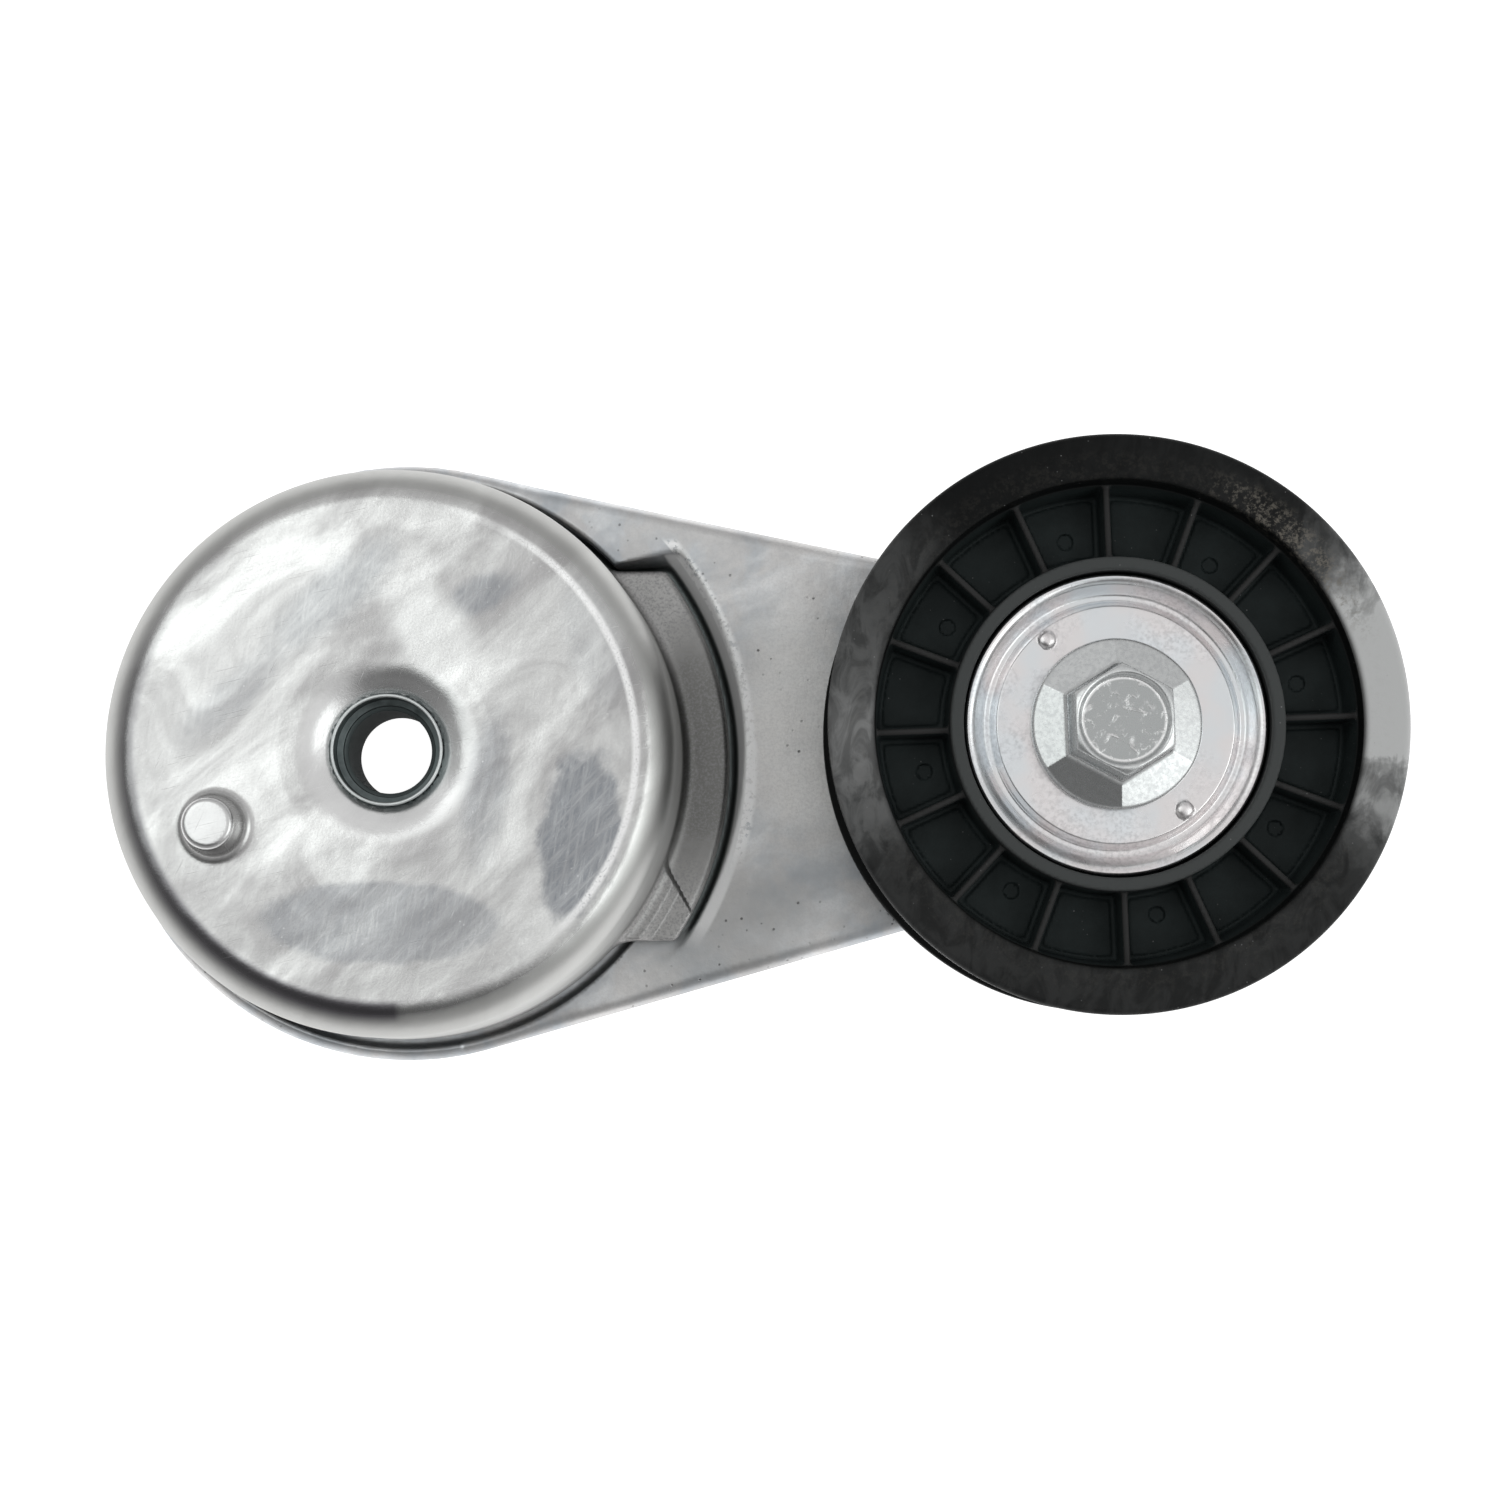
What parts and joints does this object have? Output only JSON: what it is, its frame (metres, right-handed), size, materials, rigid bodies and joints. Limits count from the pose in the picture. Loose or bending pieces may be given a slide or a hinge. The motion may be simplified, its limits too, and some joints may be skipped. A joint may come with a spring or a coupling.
{
  "type": "belt tensioner idler",
  "caption": "Spring-loaded accessory belt tensioner: cast base cup on a pivot, tapered cast arm and a flanged ribbed plastic idler pulley on a ball bearing.",
  "frame": {"origin": "centre of the pivot sleeve's mouth, on the pivot axis at the mounting face", "axes": "+Z along the pivot axis out of the mounting face towards the engine, +X from the pivot axis to the pulley axis at the free stop, +Y is the side that the pulley swings to"},
  "size_m": [0.183, 0.0866, 0.0565],
  "materials": {
    "cast_aluminium": "polished die casting with blotches and scratches",
    "zinc_steel": "bright zinc plate",
    "bearing_steel": "ground",
    "spring_steel": "oil tempered, dark",
    "black_nylon": "glass filled, satin",
    "white_nylon": "natural, satin",
    "seal_rubber": "moulded"
  },
  "bodies": {
    "base": {"base_cup": "cast_aluminium", "pivot_tube": "zinc_steel", "pivot_sleeve": "zinc_steel", "torsion_spring": "spring_steel", "damper_shoe": "black_nylon", "thrust_washer": "white_nylon", "retaining_plate": "zinc_steel"},
    "arm": {"tensioner_arm": "cast_aluminium", "pivot_bushing": "white_nylon", "pulley_bolt": "zinc_steel", "front_dust_cover": "zinc_steel", "rear_dust_shield": "zinc_steel", "bearing_spacer": "zinc_steel", "bearing_inner_ring": "bearing_steel"},
    "pulley": {"pulley_wheel": "black_nylon", "bearing_outer_ring": "bearing_steel", "front_bearing_seal": "seal_rubber", "rear_bearing_seal": "seal_rubber"},
    "cage": {"bearing_cage": "white_nylon", "bearing_ball_1": "bearing_steel", "bearing_ball_2": "bearing_steel", "bearing_ball_3": "bearing_steel", "bearing_ball_4": "bearing_steel", "bearing_ball_5": "bearing_steel", "bearing_ball_6": "bearing_steel", "bearing_ball_7": "bearing_steel", "bearing_ball_8": "bearing_steel"}
  },
  "joints": [
    {"name": "arm_swing", "type": "hinge", "parent": "base", "child": "arm", "pos_m": [0, 0, 0], "axis": [0, 0, 1], "range_deg": [0, 28], "stiffness_Nm_per_rad": 20, "springref_deg": -5.73, "deforming": ["torsion_spring"]},
    {"name": "pulley_spin", "type": "hinge", "parent": "arm", "child": "pulley", "pos_m": [0.1, 0, 0], "axis": [0, 0, 1], "continuous": true},
    {"name": "cage_spin", "type": "hinge", "parent": "arm", "child": "cage", "pos_m": [0.1, 0, 0], "axis": [0, 0, 1], "continuous": true}
  ],
  "couplings": [
    {"joint": "cage_spin", "follows": "pulley_spin", "ratio": 0.6184}
  ]
}
